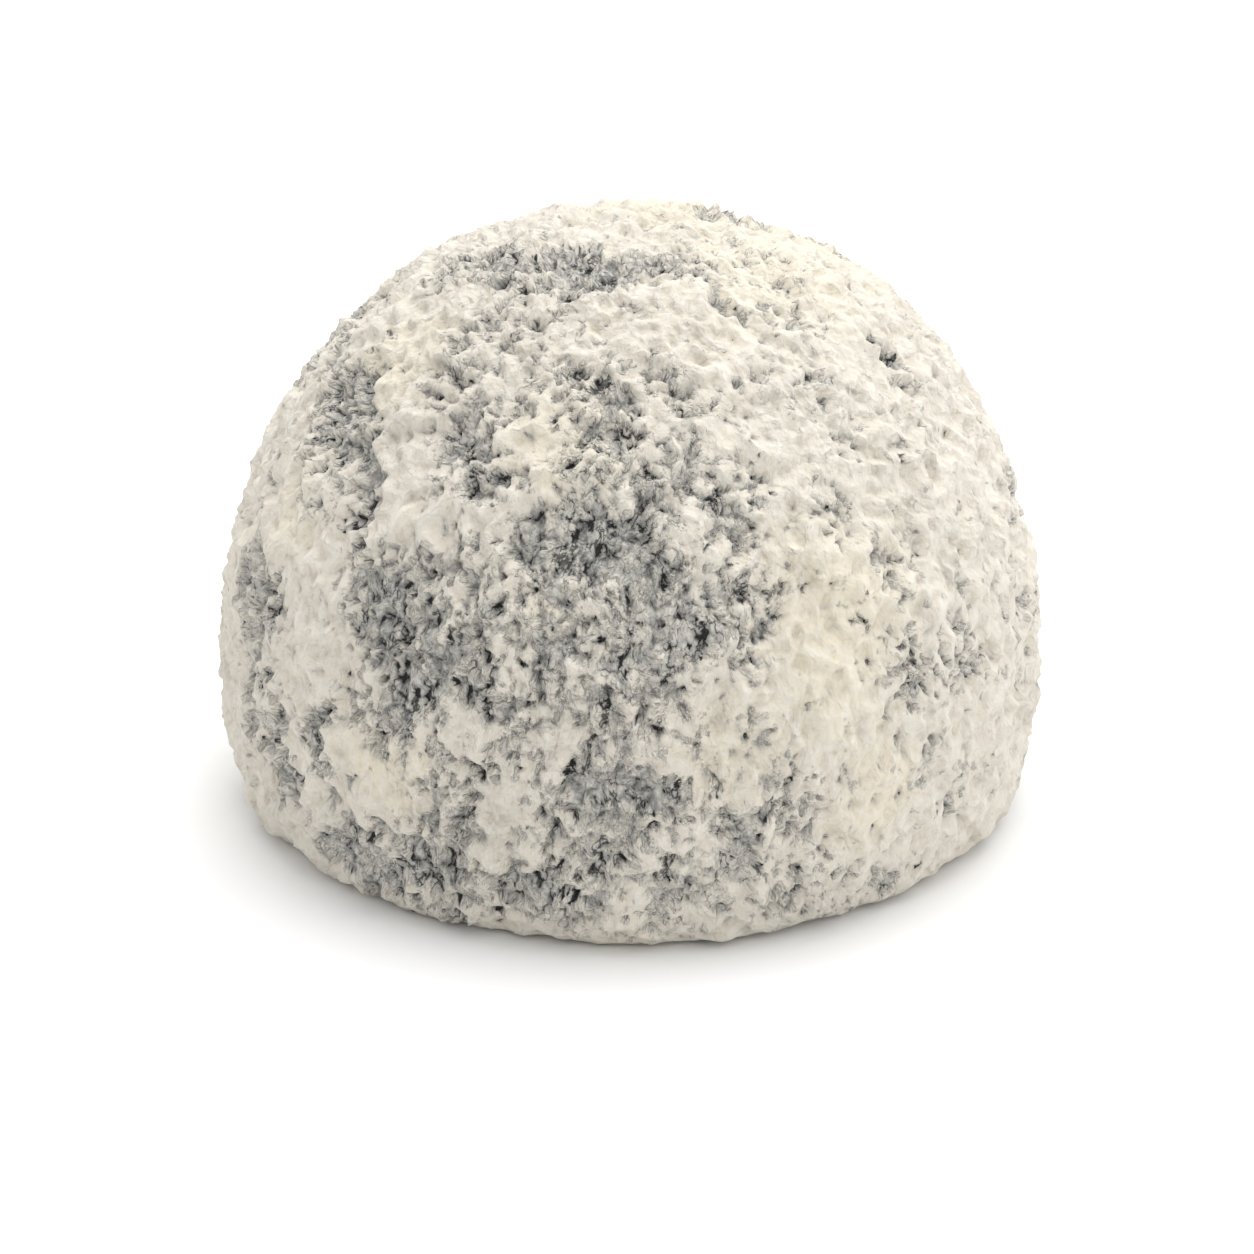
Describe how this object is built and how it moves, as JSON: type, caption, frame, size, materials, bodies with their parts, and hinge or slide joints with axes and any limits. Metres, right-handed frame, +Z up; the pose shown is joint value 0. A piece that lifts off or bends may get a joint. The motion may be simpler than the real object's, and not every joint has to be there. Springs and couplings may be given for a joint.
{
  "type": "ash-coated domed cheese",
  "caption": "Domed ripened goat's milk cheese with a wrinkled white and grey ash rind, standing on its flat underside.",
  "frame": {"origin": "centre of the flat underside that the cheese rests on, at the middle of its outline", "axes": "+Z up through the crown of the dome; -Y is the side drawn as the front, with +X to its right"},
  "size_m": [0.088, 0.0884, 0.0653],
  "materials": {
    "rind": "matte"
  },
  "bodies": {
    "root": {"cheese": "rind"}
  },
  "joints": []
}
